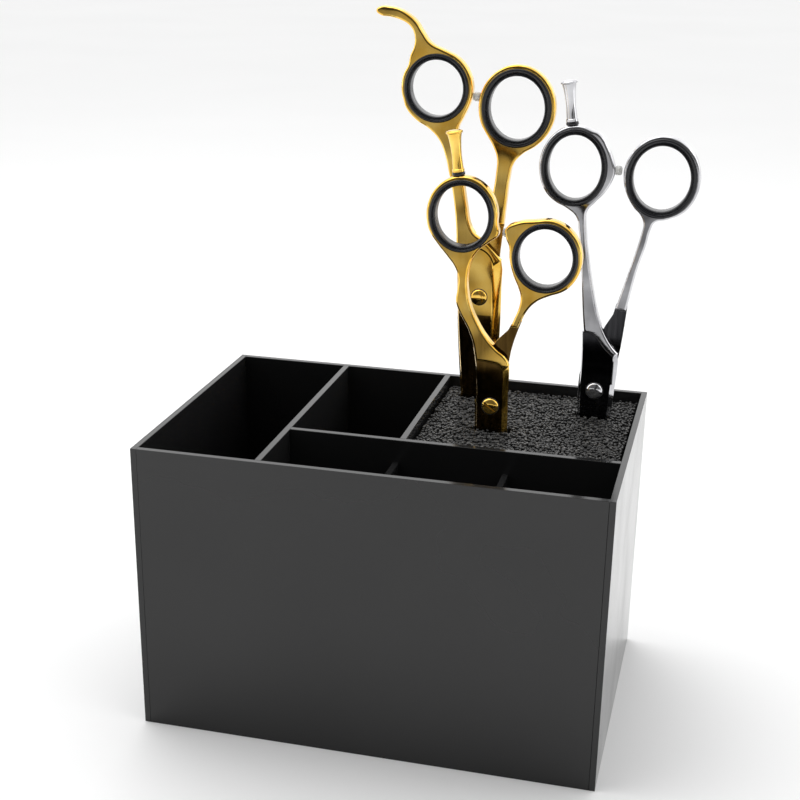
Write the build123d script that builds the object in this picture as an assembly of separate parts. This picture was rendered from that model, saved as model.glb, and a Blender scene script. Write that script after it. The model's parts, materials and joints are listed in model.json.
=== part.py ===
from build123d import *
from dataclasses import dataclass
from math import atan2, cos, degrees, radians, sin
import os

# Shear organiser: an open box of black acrylic sheet, divided into six bays, with a lift-out
# bristle insert in the rear right bay and three pairs of hairdressing shears standing in it.
# Millimetres, +Z up, front towards -Y, right towards +X.
# The origin is the centre of the box's underside.

# ---- Holder ----
HOLDER_W = 152
HOLDER_D = 102
HOLDER_H = 99
SHEET = 2                     # thickness of every acrylic sheet
EDGE_BREAK = 0.1              # flame-polished edges of the sheets
LONG_DIVIDER_X = -34.5        # front-to-back divider beside the large left bay
CROSS_DIVIDER_Y = -19.3       # left-to-right divider behind the front bays
REAR_DIVIDER_X = 4            # divider between the rear middle bay and the bristles
SHORT_DIVIDER_TOP = 91.4      # the two low dividers stop below the rim
FRONT_BAYS = 3

# ---- Bristle insert ----
INSERT_CLEARANCE = 0.4        # to the sheets round it
INSERT_BASE = 3               # plate that the bristles are fused to
BRISTLE_TOP = 96
SLOT_CLEARANCE = 0.3          # between a blade and the bristles that part round it

# ---- Shears, common sizes ----
LAP_GAP = 0.05                # half the running gap between the two blades
LAP_JOIN = 1.5                # how far a blade runs up into its own shank
METAL_T = 4.4                 # full thickness of rings and shanks
BLADE_INSET = 0.3             # blade top's distance inside the shank's edges
BLADE_T = 2.0                 # thickness of one blade at the pivot
TIP_T = 0.9                   # thickness of one blade at its tip
GRIND = 1.2                   # depth of the bevel ground along a cutting edge
GRIND_W = 3.2                 # width of that bevel
LIP_COVER = 0.8               # how far a ring insert's lip laps over the metal
LIP_T = 0.6                   # thickness of that lip
FIT = 0.05                    # radial clearance of screws, studs and inserts
SCREW_R = 1.9                 # shank of the pivot screw
SCREW_HEAD_R = 2.8
SCREW_HEAD_H = 1.1
WASHER_T = 0.25               # nylon washer under the pivot screw's head
NUT_R = 2.9
NUT_T = 1.2
SLOT_W = 0.7                  # screwdriver slot
BUMPER_R = 1.5
BOSS_ROOT = 1.4               # how far the bumper's boss runs into a ring's rim
STUD_R = 0.8                  # threaded stud of a screwed-in finger rest
STUD_LENGTH = 1.4
REST_LENGTH = 13.2
REST_WASHER_T = 1.1
REST_WASHER_R = 2.05


@dataclass
class FingerRing:
    """Oval finger hole: its centre and half sizes, the insert's lip and the metal rim round it."""
    x: float
    y: float
    rx: float
    ry: float
    lip: float
    rim: float

    def ellipse(self, grow):
        return Location((self.x, self.y)) * Ellipse(self.rx + grow, self.ry + grow)

    def on_rim(self, angle):
        """Point of the metal rim's outline, with the angle measured from +X."""
        grow = self.lip + self.rim
        return (self.x + (self.rx + grow) * cos(radians(angle)),
                self.y + (self.ry + grow) * sin(radians(angle)))


@dataclass
class Shears:
    """One pair, lying flat: pivot at the origin, handles towards +Y, front face towards +Z."""
    name: str
    pivot: tuple              # place in the holder
    finger: FingerRing        # front half, left ring
    thumb: FingerRing         # rear half, right ring
    finger_shank: list        # stations (y, left edge, right edge) from the ring downwards
    thumb_shank: list
    finger_lap: float         # below this height the front half is halved in thickness
    thumb_lap: float
    flare: tuple              # where the front shank's swept edge meets the blade's back
    blade_left: float         # left edge of the closed blades at the pivot
    blade_right: float
    tip: tuple
    bumper_y: float
    screwed_rest: bool
    rest_angle: float = 98    # place of a screwed-in rest on its ring


gold_back = Shears(
    name="gold_back", pivot=(16.6, 39.6, 132.3),
    finger=FingerRing(-16.75, 70.1, 8.9, 9.15, lip=2.1, rim=1.15),
    thumb=FingerRing(10.35, 64.8, 9.25, 10.35, lip=2.45, rim=1.15),
    finger_shank=[(60, -24, -7.2), (55, -18.3, -8.3), (48, -13.3, -8.2), (38, -11.1, -6.7), (22, -9.4, -2.2)],
    thumb_shank=[(54, 2.2, 15), (50.5, 4.3, 10.8), (44, 4.3, 8.9), (35, 4.5, 7.9), (22, 2.0, 6.8)],
    finger_lap=24, thumb_lap=29, flare=(7.2, 13.6), blade_left=-7.6, blade_right=7.7, tip=(1.0, -66),
    bumper_y=67.8, screwed_rest=False)

gold_front = Shears(
    name="gold_front", pivot=(27.7, 7.7, 104.2),
    finger=FingerRing(-11.6, 62.9, 8.6, 9.7, lip=2.0, rim=1.0),
    thumb=FingerRing(15.8, 51.2, 8.65, 9.3, lip=1.95, rim=1.1),
    finger_shank=[(54, -18.8, -3), (50, -15.5, -7), (44, -12.6, -9.1), (33, -12.4, -8), (20, -8.4, -1.3)],
    thumb_shank=[(42, 7, 20), (39, 8.2, 15.2), (34.5, 8.3, 11.2), (28, 5.6, 8.3), (19, 0.8, 6.3)],
    finger_lap=22, thumb_lap=26, flare=(5.6, 14.9), blade_left=-5.2, blade_right=6.2, tip=(0.8, -62),
    bumper_y=58.3, screwed_rest=True)

silver = Shears(
    name="silver", pivot=(59.4, 30.9, 105.1),
    finger=FingerRing(-11.2, 75.3, 8.65, 10.45, lip=2.1, rim=0.9),
    thumb=FingerRing(16.9, 73.3, 9.15, 10.45, lip=2.3, rim=0.85),
    finger_shank=[(65, -16.5, -3.5), (61.5, -11.2, -7), (52, -8.4, -6.2), (38, -6.9, -3.9), (21, -5.7, 0.3)],
    thumb_shank=[(63, 8, 20), (59, 11.6, 15.1), (50, 10, 13.3), (36, 6.8, 10), (22, 2.2, 7.6)],
    finger_lap=23, thumb_lap=27, flare=(7.1, 13.5), blade_left=-5.5, blade_right=6.6, tip=(0.8, -66),
    bumper_y=74.9, screwed_rest=True)

ALL_SHEARS = [gold_back, gold_front, silver]


# ---- Holder of bonded sheets ----

def sheet(x_low, x_high, y_low, y_high, z_low, z_high):
    """A cut sheet between six planes, with its edges broken."""
    block = Box(x_high - x_low, y_high - y_low, z_high - z_low)
    placed = Location(((x_low + x_high) / 2, (y_low + y_high) / 2, (z_low + z_high) / 2)) * block
    return chamfer(placed.edges(), EDGE_BREAK)


def holder_panels():
    """Side panels run the full depth; the front, back and base fit between them."""
    half_w = HOLDER_W / 2
    half_d = HOLDER_D / 2
    inner_x = half_w - SHEET
    inner_y = half_d - SHEET
    cross_back = CROSS_DIVIDER_Y + SHEET / 2
    cross_front = CROSS_DIVIDER_Y - SHEET / 2
    long_right = LONG_DIVIDER_X + SHEET / 2
    panels = {
        "left_panel": sheet(-half_w, -inner_x, -half_d, half_d, 0, HOLDER_H),
        "right_panel": sheet(inner_x, half_w, -half_d, half_d, 0, HOLDER_H),
        "front_panel": sheet(-inner_x, inner_x, -half_d, -inner_y, 0, HOLDER_H),
        "back_panel": sheet(-inner_x, inner_x, inner_y, half_d, 0, HOLDER_H),
        "base_panel": sheet(-inner_x, inner_x, -inner_y, inner_y, 0, SHEET),
        "long_divider": sheet(long_right - SHEET, long_right, -inner_y, inner_y, SHEET, HOLDER_H),
        "cross_divider": sheet(long_right, inner_x, cross_front, cross_back, SHEET, HOLDER_H),
        "rear_divider": sheet(REAR_DIVIDER_X - SHEET / 2, REAR_DIVIDER_X + SHEET / 2,
                              cross_back, inner_y, SHEET, HOLDER_H),
    }
    bay = (inner_x - long_right) / FRONT_BAYS
    for index, side in enumerate(["left", "right"], start=1):
        middle = long_right + index * bay
        panels[f"short_divider_{side}"] = sheet(middle - SHEET / 2, middle + SHEET / 2,
                                                -inner_y, cross_front, SHEET, SHORT_DIVIDER_TOP)
    return panels


# ---- Shears ----

def in_holder(shears, shape):
    """Stand a shape drawn lying flat upright at the pair's place, with its front towards -Y."""
    return Plane(origin=shears.pivot, x_dir=(1, 0, 0), z_dir=(0, -1, 0)) * shape


def slab(face, low, high):
    """Extrude a flat face between two heights above the lap plane."""
    return Location((0, 0, low)) * extrude(face, high - low)


def strip(stations):
    """Flat strip along a path; a station is centre x, centre y, heading in degrees and width."""
    left, right = [], []
    for x, y, heading, width in stations:
        off_x = -sin(radians(heading)) * width / 2
        off_y = cos(radians(heading)) * width / 2
        left.append((x + off_x, y + off_y))
        right.append((x - off_x, y - off_y))
    return make_face([Spline(*left), Line(left[-1], right[-1]), Spline(*right), Line(right[0], left[0])])


def shank(stations):
    """Outline of a shank from the ring down to its lap, from the places of its two edges."""
    return strip([((left + right) / 2, y, -90, right - left) for y, left, right in stations])


def ring_insert(ring):
    """Rubber grommet: a core inside the metal and a lip over each face."""
    core = slab(ring.ellipse(ring.lip - LIP_COVER - FIT), -METAL_T / 2, METAL_T / 2)
    front_lip = slab(ring.ellipse(ring.lip), METAL_T / 2, METAL_T / 2 + LIP_T)
    back_lip = slab(ring.ellipse(ring.lip), -METAL_T / 2 - LIP_T, -METAL_T / 2)
    grommet = core + front_lip + back_lip
    outer_rims = [e for e in grommet.edges() if abs(abs(e.center().Z) - METAL_T / 2 - LIP_T) < 0.01]
    return fillet(outer_rims, LIP_T / 2) - slab(ring.ellipse(0), -METAL_T, METAL_T)


def blade_top(stations, top):
    """Left and right edge of a blade at its top, just inside the shank it runs up into."""
    for (y_high, left_high, right_high), (y_low, left_low, right_low) in zip(stations, stations[1:]):
        if y_low <= top <= y_high:
            share = (top - y_low) / (y_high - y_low)
            left = left_low + share * (left_high - left_low)
            right = right_low + share * (right_high - right_low)
            return left + BLADE_INSET, right - BLADE_INSET


def blade_outline(shears, front):
    """Half-thickness part of one half, from its shank down to the tip.

    The front half's back is on the right and its cutting edge on the left; the rear half's are the
    other way round, and its swept edge is hidden behind the front half.
    """
    tip_x, tip_y = shears.tip
    if front:
        top = shears.finger_lap + LAP_JOIN
        left, right = blade_top(shears.finger_shank, top)
        back_side, edge_side, flare_x, flare_y = shears.blade_right, shears.blade_left + 0.5, *shears.flare
        back_top, edge_top = right, left
    else:
        top = shears.thumb_lap + LAP_JOIN
        left, right = blade_top(shears.thumb_shank, top)
        back_side, edge_side, flare_x, flare_y = shears.blade_left, shears.blade_right - 1.2, shears.blade_left, 8
        back_top, edge_top = left, right
    sweep = Spline((back_top, top), ((2 * back_top + flare_x) / 3, (top + flare_y) / 2 + 1), (flare_x, flare_y),
                   tangents=[(0, -1), (flare_x - back_top, -1.6)])
    back = Spline((flare_x, flare_y), (back_side, 0), (back_side * 0.8 + tip_x * 0.2, tip_y * 0.55),
                  (tip_x + (0.5 if front else -0.5), tip_y))
    point = Line(back @ 1, (tip_x - (0.5 if front else -0.5), tip_y))
    edge_low = Line(point @ 1, (edge_side, 0))
    edge_high = Line((edge_side, 0), (edge_top, top))
    return make_face([sweep, back, point, edge_low, edge_high, Line((edge_top, top), (back_top, top))])


def blade(shears, front):
    """One blade lying above the lap plane, tapered to the tip, with its edge ground."""
    tip_y = shears.tip[1]
    solid = slab(blade_outline(shears, front), LAP_GAP, METAL_T / 2)
    taper_start = shears.flare[1] - 4
    slope = degrees(atan2(BLADE_T - TIP_T, taper_start - tip_y))
    cutter = Box(60, 120, 10, align=(Align.CENTER, Align.MAX, Align.MIN))
    solid -= Location((0, taper_start, BLADE_T), (slope, 0, 0)) * cutter
    edge_side = shears.blade_left + 0.5 if front else shears.blade_right - 1.2
    lean = degrees(atan2(shears.tip[0] - edge_side, -tip_y))
    grind = Box(20, 2 * abs(tip_y), 10, align=(Align.MAX if front else Align.MIN, Align.CENTER, Align.MIN))
    bevel = degrees(atan2(GRIND, GRIND_W))
    turn = bevel if front else -bevel
    inset = edge_side + (GRIND_W if front else -GRIND_W)
    placed = Location((inset, 0, BLADE_T), (0, 0, lean)) * Location((0, 0, 0), (0, -turn, 0)) * grind
    below_pivot = Box(60, abs(tip_y), 20, align=(Align.CENTER, Align.MAX, Align.CENTER))
    return solid - (placed & Location((0, -7, 0)) * below_pivot)


def handle(shears, front):
    """Full-thickness part of one half: ring, shank, boss for the bumper and any fixed rest."""
    ring = shears.finger if front else shears.thumb
    outline = ring.ellipse(ring.lip + ring.rim) + shank(shears.finger_shank if front else shears.thumb_shank)
    outline += spur(shears, front)
    if front and not shears.screwed_rest:
        outline += curved_rest(ring)
    outline -= ring.ellipse(ring.lip - LIP_COVER)
    return slab(outline, -METAL_T / 2, METAL_T / 2)


def half(shears, front):
    """One half: handle and blade in one piece, halved in thickness where the two halves cross."""
    lap = shears.finger_lap if front else shears.thumb_lap
    body = handle(shears, front)
    lap_block = Box(80, 80, METAL_T, align=(Align.CENTER, Align.MAX, Align.MAX if front else Align.MIN))
    body -= Location((0, lap, LAP_GAP if front else -LAP_GAP)) * lap_block
    body += blade(shears, True) if front else mirror(blade(shears, False), Plane.XY)
    if front and shears.screwed_rest:
        body -= rest_place(shears) * Location((0, 0, -2 * STUD_LENGTH)) * upright(STUD_R + FIT, 4 * STUD_LENGTH)
    return body - Location((0, 0, -METAL_T)) * upright(SCREW_R + FIT, 2 * METAL_T)


def upright(radius, height):
    """Cylinder standing on its base."""
    return Cylinder(radius, height, align=(Align.CENTER, Align.CENTER, Align.MIN))


def ring_gap(shears):
    """Gap between the two rings' rims at the bumper's height, as its left and right end."""
    ends = []
    for ring, sign in ((shears.finger, 1), (shears.thumb, -1)):
        grow = ring.lip + ring.rim
        reach = (1 - ((shears.bumper_y - ring.y) / (ring.ry + grow)) ** 2) ** 0.5
        ends.append(ring.x + sign * (ring.rx + grow) * reach)
    return ends


def bumper_span(shears):
    """Ends of the bumper along X, standing clear of the thumb half's boss."""
    low, high = ring_gap(shears)
    middle = (low + high) / 2
    length = min(high - low, 2.2)
    return middle - length / 2, middle + length / 2 - 2 * FIT


def spur(shears, front):
    """Outline of the boss that grows out of a ring to meet the bumper."""
    low, high = ring_gap(shears)
    start, end = bumper_span(shears)
    root_x, face_x = (low - BOSS_ROOT, start) if front else (high + BOSS_ROOT, end + 2 * FIT)
    boss = Rectangle(abs(face_x - root_x), 2 * BUMPER_R + 0.6)
    return Location(((root_x + face_x) / 2, shears.bumper_y)) * boss


def bumper(shears):
    start, end = bumper_span(shears)
    stop = fillet(extrude(Plane.YZ * Circle(BUMPER_R), end - start).edges(), 0.3)
    return Location((start, shears.bumper_y, 0)) * stop


def curved_rest(ring):
    """Outline of a fixed rest: a tang that grows from the ring and curls outwards."""
    return strip([
        (ring.x - 4.6, ring.y + 9.5, 105, 8.5),
        (ring.x - 5.0, ring.y + 13.6, 95, 4.4),
        (ring.x - 6.2, ring.y + 18.3, 110, 3.2),
        (ring.x - 9.2, ring.y + 22.4, 145, 3.2),
        (ring.x - 14.2, ring.y + 24.6, 166, 2.9),
        (ring.x - 20.6, ring.y + 25.0, 182, 1.8),
    ])


def rest_place(shears):
    """Frame on the finger ring's rim with +Z pointing out along a screwed-in rest."""
    x, y = shears.finger.on_rim(shears.rest_angle)
    out = (cos(radians(shears.rest_angle)), sin(radians(shears.rest_angle)), 0)
    return Location(Plane(origin=(x, y, 0), z_dir=out))


def rest_washer(shears):
    ring = upright(REST_WASHER_R, REST_WASHER_T) - upright(STUD_R + FIT, REST_WASHER_T)
    return rest_place(shears) * ring


def screwed_rest(shears):
    """Waisted rest that flares to a domed cap, with its stud through the washer and the ring."""
    foot = REST_WASHER_T
    top = foot + REST_LENGTH
    outline = [
        Line((0, foot), (1.95, foot)),
        Line((1.95, foot), (1.95, foot + 0.9)),
        ThreePointArc((1.95, foot + 0.9), (1.55, foot + 5.5), (2.35, top - 0.9)),
        Line((2.35, top - 0.9), (2.7, top - 0.9)),
        Line((2.7, top - 0.9), (2.7, top - 0.4)),
        ThreePointArc((2.7, top - 0.4), (2.1, top - 0.1), (1.2, top)),
        Line((1.2, top), (0, top)),
        Line((0, top), (0, foot)),
    ]
    turned = revolve(Plane.XZ * make_face(outline), Axis.Z)
    stud = Location((0, 0, -STUD_LENGTH)) * upright(STUD_R, STUD_LENGTH + foot)
    return rest_place(shears) * (turned + stud)


def pivot_screw(shears):
    """Domed, slotted screw through both halves; its threaded end carries the nut."""
    head_base = BLADE_T + WASHER_T
    dome = Location((0, 0, head_base)) * upright(SCREW_HEAD_R, SCREW_HEAD_H)
    rim = [e for e in dome.edges() if e.center().Z > head_base + SCREW_HEAD_H / 2]
    dome = fillet(rim, SCREW_HEAD_H * 0.75)
    slot = Location((0, 0, head_base + SCREW_HEAD_H)) * Box(8, SLOT_W, SCREW_HEAD_H)
    end = -BLADE_T - NUT_T - 0.2
    return dome - slot + Location((0, 0, end)) * upright(SCREW_R, head_base - end)


def pivot_washer(shears):
    ring = upright(SCREW_HEAD_R + 0.2, WASHER_T) - upright(SCREW_R + FIT, WASHER_T)
    return Location((0, 0, BLADE_T)) * ring


def pivot_nut(shears):
    """Thin round tension nut against the rear blade, with two spanner notches."""
    nut = Location((0, 0, -BLADE_T - NUT_T)) * upright(NUT_R, NUT_T)
    nut -= Location((0, 0, -BLADE_T - NUT_T)) * Box(2 * NUT_R, 0.8, 0.9)
    return nut - Location((0, 0, -BLADE_T - NUT_T)) * upright(SCREW_R + FIT, NUT_T)


def shears_pieces(shears):
    """Every piece of one pair, named for the pair."""
    pieces = {
        "finger_half": half(shears, front=True),
        "thumb_half": half(shears, front=False),
        "finger_insert": ring_insert(shears.finger),
        "thumb_insert": ring_insert(shears.thumb),
        "pivot_screw": pivot_screw(shears),
        "pivot_washer": pivot_washer(shears),
        "pivot_nut": pivot_nut(shears),
        "bumper": bumper(shears),
    }
    if shears.screwed_rest:
        pieces["finger_rest"] = screwed_rest(shears)
        pieces["rest_washer"] = rest_washer(shears)
    return {f"{shears.name}_{piece}": in_holder(shears, shape) for piece, shape in pieces.items()}


# ---- Bristle insert ----

def bristle_bay():
    """Inner faces of the bay the insert stands in, as x and y pairs, less its clearance."""
    x_low = REAR_DIVIDER_X + SHEET / 2 + INSERT_CLEARANCE
    x_high = HOLDER_W / 2 - SHEET - INSERT_CLEARANCE
    y_low = CROSS_DIVIDER_Y + SHEET / 2 + INSERT_CLEARANCE
    y_high = HOLDER_D / 2 - SHEET - INSERT_CLEARANCE
    return x_low, x_high, y_low, y_high


def blade_slot(shears):
    """Tapered space that one pair's closed blades take up in the bristles."""
    tip_x, tip_y = shears.tip
    sides = Polyline(
        (shears.blade_left - SLOT_CLEARANCE - 0.3, 0),
        (shears.blade_right + SLOT_CLEARANCE + 0.3, 0),
        (shears.blade_right * 0.95 + SLOT_CLEARANCE, tip_y * 0.55),
        (tip_x + 1.2 + SLOT_CLEARANCE, tip_y - SLOT_CLEARANCE),
        (tip_x - 1.2 - SLOT_CLEARANCE, tip_y - SLOT_CLEARANCE),
        (shears.blade_left * 0.95 - SLOT_CLEARANCE, tip_y * 0.55),
        close=True)
    depth = BLADE_T + SLOT_CLEARANCE
    return in_holder(shears, slab(make_face(sides), -depth, depth))


def bristle_insert():
    """A base plate and the bundle of bristles on it, parted where the blades stand."""
    x_low, x_high, y_low, y_high = bristle_bay()
    plate_top = SHEET + INSERT_BASE
    plate = sheet(x_low, x_high, y_low, y_high, SHEET, plate_top)
    bundle = sheet(x_low, x_high, y_low, y_high, plate_top, BRISTLE_TOP)
    for shears in ALL_SHEARS:
        bundle -= blade_slot(shears)
    return {"bristle_base": plate, "bristle_bundle": bundle}


def main():
    os.makedirs("parts", exist_ok=True)
    nodes = holder_panels() | bristle_insert()
    for shears in ALL_SHEARS:
        nodes |= shears_pieces(shears)
    for name, shape in nodes.items():
        export_step(shape, f"parts/{name}.step")


main()
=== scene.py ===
import json
from math import cos, pi, radians, sin
import random

import bpy
from mathutils import Matrix, Vector


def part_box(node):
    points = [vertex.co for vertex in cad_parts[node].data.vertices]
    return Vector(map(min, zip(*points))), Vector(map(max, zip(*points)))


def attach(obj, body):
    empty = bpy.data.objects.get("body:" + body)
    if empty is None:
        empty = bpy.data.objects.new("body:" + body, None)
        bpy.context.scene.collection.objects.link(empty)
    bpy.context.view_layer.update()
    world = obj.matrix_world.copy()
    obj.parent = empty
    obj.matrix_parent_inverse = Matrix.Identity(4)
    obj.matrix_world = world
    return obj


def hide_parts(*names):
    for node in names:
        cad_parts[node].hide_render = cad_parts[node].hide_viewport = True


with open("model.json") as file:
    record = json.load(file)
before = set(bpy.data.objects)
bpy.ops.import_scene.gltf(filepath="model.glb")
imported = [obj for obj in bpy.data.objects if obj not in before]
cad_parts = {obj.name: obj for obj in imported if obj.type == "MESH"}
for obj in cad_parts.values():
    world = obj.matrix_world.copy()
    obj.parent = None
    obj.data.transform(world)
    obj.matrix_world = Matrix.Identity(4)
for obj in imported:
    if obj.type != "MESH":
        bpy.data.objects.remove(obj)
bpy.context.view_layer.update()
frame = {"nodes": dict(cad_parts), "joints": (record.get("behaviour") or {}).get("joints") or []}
bpy.ops.object.select_all(action="DESELECT")
mm = 0.001

# Shear pieces are drawn lying flat in millimetres, pivot at the origin and handles towards +Y,
# then stood up at their pair's pivot, which is read from the frame's hinges.
pivotPlace = {}
for joint in frame["joints"]:
    if joint["name"].endswith("_open"):
        pivotPlace[joint["name"][:-len("_open")]] = Vector(joint["pos_m"])


def pickAll():
    bpy.ops.mesh.select_all(action="SELECT")


def pickNone():
    bpy.ops.mesh.select_all(action="DESELECT")


def editMode():
    bpy.ops.object.mode_set(mode="EDIT")


def objectMode():
    bpy.ops.object.mode_set(mode="OBJECT")


def clearTable():
    bpy.ops.object.select_all(action="DESELECT")


def makeActive(piece):
    clearTable()
    piece.select_set(True)
    bpy.context.view_layer.objects.active = piece


def applyAll(piece):
    makeActive(piece)
    for modifier in list(piece.modifiers):
        bpy.ops.object.modifier_apply(modifier=modifier.name)


def joinPieces(pieces, name):
    makeActive(pieces[0])
    for piece in pieces[1:]:
        piece.select_set(True)
    bpy.ops.object.join()
    joined = bpy.context.object
    joined.name = name
    return joined


def smooth(piece, angle=32):
    makeActive(piece)
    bpy.ops.object.shade_smooth_by_angle(angle=radians(angle))


def evenNormals(piece):
    # keeps big flats flat where they run into rounded rims
    weighted = piece.modifiers.new("evenNormals", "WEIGHTED_NORMAL")
    weighted.keep_sharp = True
    applyAll(piece)


def combine(piece, other, way):
    # union or difference, and the other shape is used up
    boolean = piece.modifiers.new("combine", "BOOLEAN")
    boolean.operation = way
    boolean.solver = "EXACT"
    boolean.use_self = True
    boolean.object = other
    applyAll(piece)
    bpy.data.objects.remove(other)
    return piece


def tidyMesh(piece):
    # merges what the cuts left lying on top of each other
    reach = {"merge": 0.004, "vanish": 0.001, "sliver": 0.05}
    makeActive(piece)
    editMode()
    pickAll()
    bpy.ops.mesh.remove_doubles(threshold=reach["merge"])
    bpy.ops.mesh.dissolve_degenerate(threshold=reach["vanish"])
    bpy.ops.mesh.delete_loose()
    # slivers: their open edges are drawn together, leftover sheets inside go, and gaps are filled
    bpy.ops.mesh.select_mode(type="EDGE")
    pickNone()
    bpy.ops.mesh.select_non_manifold()
    bpy.ops.mesh.remove_doubles(threshold=reach["sliver"])
    pickNone()
    bpy.ops.mesh.select_interior_faces()
    bpy.ops.mesh.delete(type="FACE")
    pickNone()
    bpy.ops.mesh.select_non_manifold()
    bpy.ops.mesh.fill_holes(sides=0)
    bpy.ops.mesh.select_mode(type="VERT")
    pickAll()
    bpy.ops.mesh.dissolve_degenerate(threshold=reach["vanish"])
    bpy.ops.mesh.delete_loose(use_faces=True)
    pickAll()
    bpy.ops.mesh.normals_make_consistent(inside=False)
    objectMode()


def standUp(piece, pair):
    # from the drawing table into the holder: front face to -Y, handles up
    turn = Matrix.Rotation(radians(90), 4, "X")
    place = Matrix.Translation(pivotPlace[pair]) @ turn @ Matrix.Scale(mm, 4)
    piece.data.transform(place @ piece.matrix_world)
    piece.matrix_world = Matrix.Identity(4)


def onRing(ring, angle):
    # point of a ring's outer edge, with the angle in radians from +X
    grow = ring["lip"] + ring["rim"]
    return ring["x"] + (ring["rx"] + grow) * cos(angle), ring["y"] + (ring["ry"] + grow) * sin(angle)


def ringArc(ring, start, end, step=15):
    # points of a ring's outer edge, clockwise from one angle in degrees to another
    count = max(2, round((start - end) / step))
    return [onRing(ring, radians(start + (end - start) * i / count)) for i in range(count + 1)]


# steps between two drawn points and across a rounded rim, and how near points merge
fineness = {"curve": 8, "rounding": 4, "merge": 0.0005}


def drawnPlate(name, points, corners, holes, halfThick, rounding):
    # a closed drawn outline, filled, thickened and with its edges rounded over
    clearTable()
    bpy.ops.curve.primitive_bezier_curve_add(location=(0, 0, 0))
    drawing = bpy.context.object
    editMode()
    bpy.ops.curve.select_all(action="SELECT")
    bpy.ops.curve.delete(type="VERT")
    for x, y in points:
        bpy.ops.curve.vertex_add(location=(x, y, 0))
    bpy.ops.curve.select_all(action="SELECT")
    bpy.ops.curve.cyclic_toggle()
    bpy.ops.curve.handle_type_set(type="AUTOMATIC")
    bpy.ops.curve.select_all(action="DESELECT")
    for index in corners:
        drawing.data.splines[0].bezier_points[index].select_control_point = True
    if corners:
        bpy.ops.curve.handle_type_set(type="VECTOR")
    for x, y, rx, ry in holes:
        bpy.ops.curve.select_all(action="DESELECT")
        bpy.ops.curve.primitive_bezier_circle_add(radius=1, location=(x, y, 0))
        bpy.ops.transform.resize(value=(rx, ry, 1), center_override=(x, y, 0))
    objectMode()
    drawing.data.dimensions = "2D"
    drawing.data.fill_mode = "BOTH"
    drawing.data.resolution_u = fineness["curve"]
    drawing.data.extrude = halfThick - rounding
    drawing.data.bevel_depth = rounding
    drawing.data.bevel_resolution = fineness["rounding"]
    drawing.data.offset = -rounding
    bpy.ops.object.convert(target="MESH")
    plate = bpy.context.object
    plate.name = name
    editMode()
    pickAll()
    bpy.ops.mesh.remove_doubles(threshold=fineness["merge"])
    bpy.ops.mesh.normals_make_consistent(inside=False)
    objectMode()
    return plate


def turned(name, profile, sides, rx=0, ry=0, closed=False):
    # a lathe-like form: a circle extruded up its profile of (radius, height); rx and ry make it oval
    clearTable()
    firstOut, firstUp = profile[0]
    bpy.ops.mesh.primitive_circle_add(vertices=sides, radius=1, fill_type="NOTHING", location=(0, 0, 0))
    piece = bpy.context.object
    piece.name = name
    editMode()
    pickAll()
    bpy.ops.transform.resize(value=(rx + firstOut, ry + firstOut, 1), center_override=(0, 0, 0))
    bpy.ops.transform.translate(value=(0, 0, firstUp))
    for (out, up), (nextOut, nextUp) in zip(profile, profile[1:]):
        bpy.ops.mesh.extrude_region_move(TRANSFORM_OT_translate={"value": (0, 0, nextUp - up)})
        growth = ((rx + nextOut) / (rx + out), (ry + nextOut) / (ry + out), 1)
        bpy.ops.transform.resize(value=growth, center_override=(0, 0, nextUp))
    if closed:
        pickNone()
        bpy.ops.mesh.select_non_manifold()
        bpy.ops.mesh.bridge_edge_loops()
    else:
        bpy.ops.mesh.edge_face_add()
        pickNone()
        bpy.ops.mesh.select_non_manifold()
        bpy.ops.mesh.edge_face_add()
    pickAll()
    bpy.ops.mesh.normals_make_consistent(inside=False)
    objectMode()
    return piece


def newMaterial(name):
    material = bpy.data.materials.new(name)
    material.use_nodes = True
    nodes = material.node_tree.nodes
    place = nodes.new("ShaderNodeTexCoord")
    return material, nodes, material.node_tree.links, nodes["Principled BSDF"], place.outputs["Object"]


def addNoise(nodes, links, place, scale, detail=3, stretch=(1, 1, 1)):
    mapping = nodes.new("ShaderNodeMapping")
    mapping.inputs["Scale"].default_value = stretch
    noise = nodes.new("ShaderNodeTexNoise")
    noise.inputs["Scale"].default_value = scale
    noise.inputs["Detail"].default_value = detail
    links.new(place, mapping.inputs["Vector"])
    links.new(mapping.outputs["Vector"], noise.inputs["Vector"])
    return noise.outputs["Fac"]


def addRamp(nodes, links, value, stops):
    ramp = nodes.new("ShaderNodeValToRGB")
    while len(ramp.color_ramp.elements) < len(stops):
        ramp.color_ramp.elements.new(0.5)
    for element, (position, color) in zip(ramp.color_ramp.elements, stops):
        element.position = position
        element.color = (*color, 1)
    links.new(value, ramp.inputs["Fac"])
    return ramp.outputs["Color"]


def addRange(nodes, links, value, low, high):
    mapRange = nodes.new("ShaderNodeMapRange")
    mapRange.inputs["From Min"].default_value = 0.3
    mapRange.inputs["From Max"].default_value = 0.7
    mapRange.inputs["To Min"].default_value = low
    mapRange.inputs["To Max"].default_value = high
    links.new(value, mapRange.inputs["Value"])
    return mapRange.outputs["Result"]


def addBump(nodes, links, shader, height, strength, distance):
    bump = nodes.new("ShaderNodeBump")
    bump.inputs["Strength"].default_value = strength
    bump.inputs["Distance"].default_value = distance
    links.new(height, bump.inputs["Height"])
    links.new(bump.outputs["Normal"], shader.inputs["Normal"])


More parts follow.
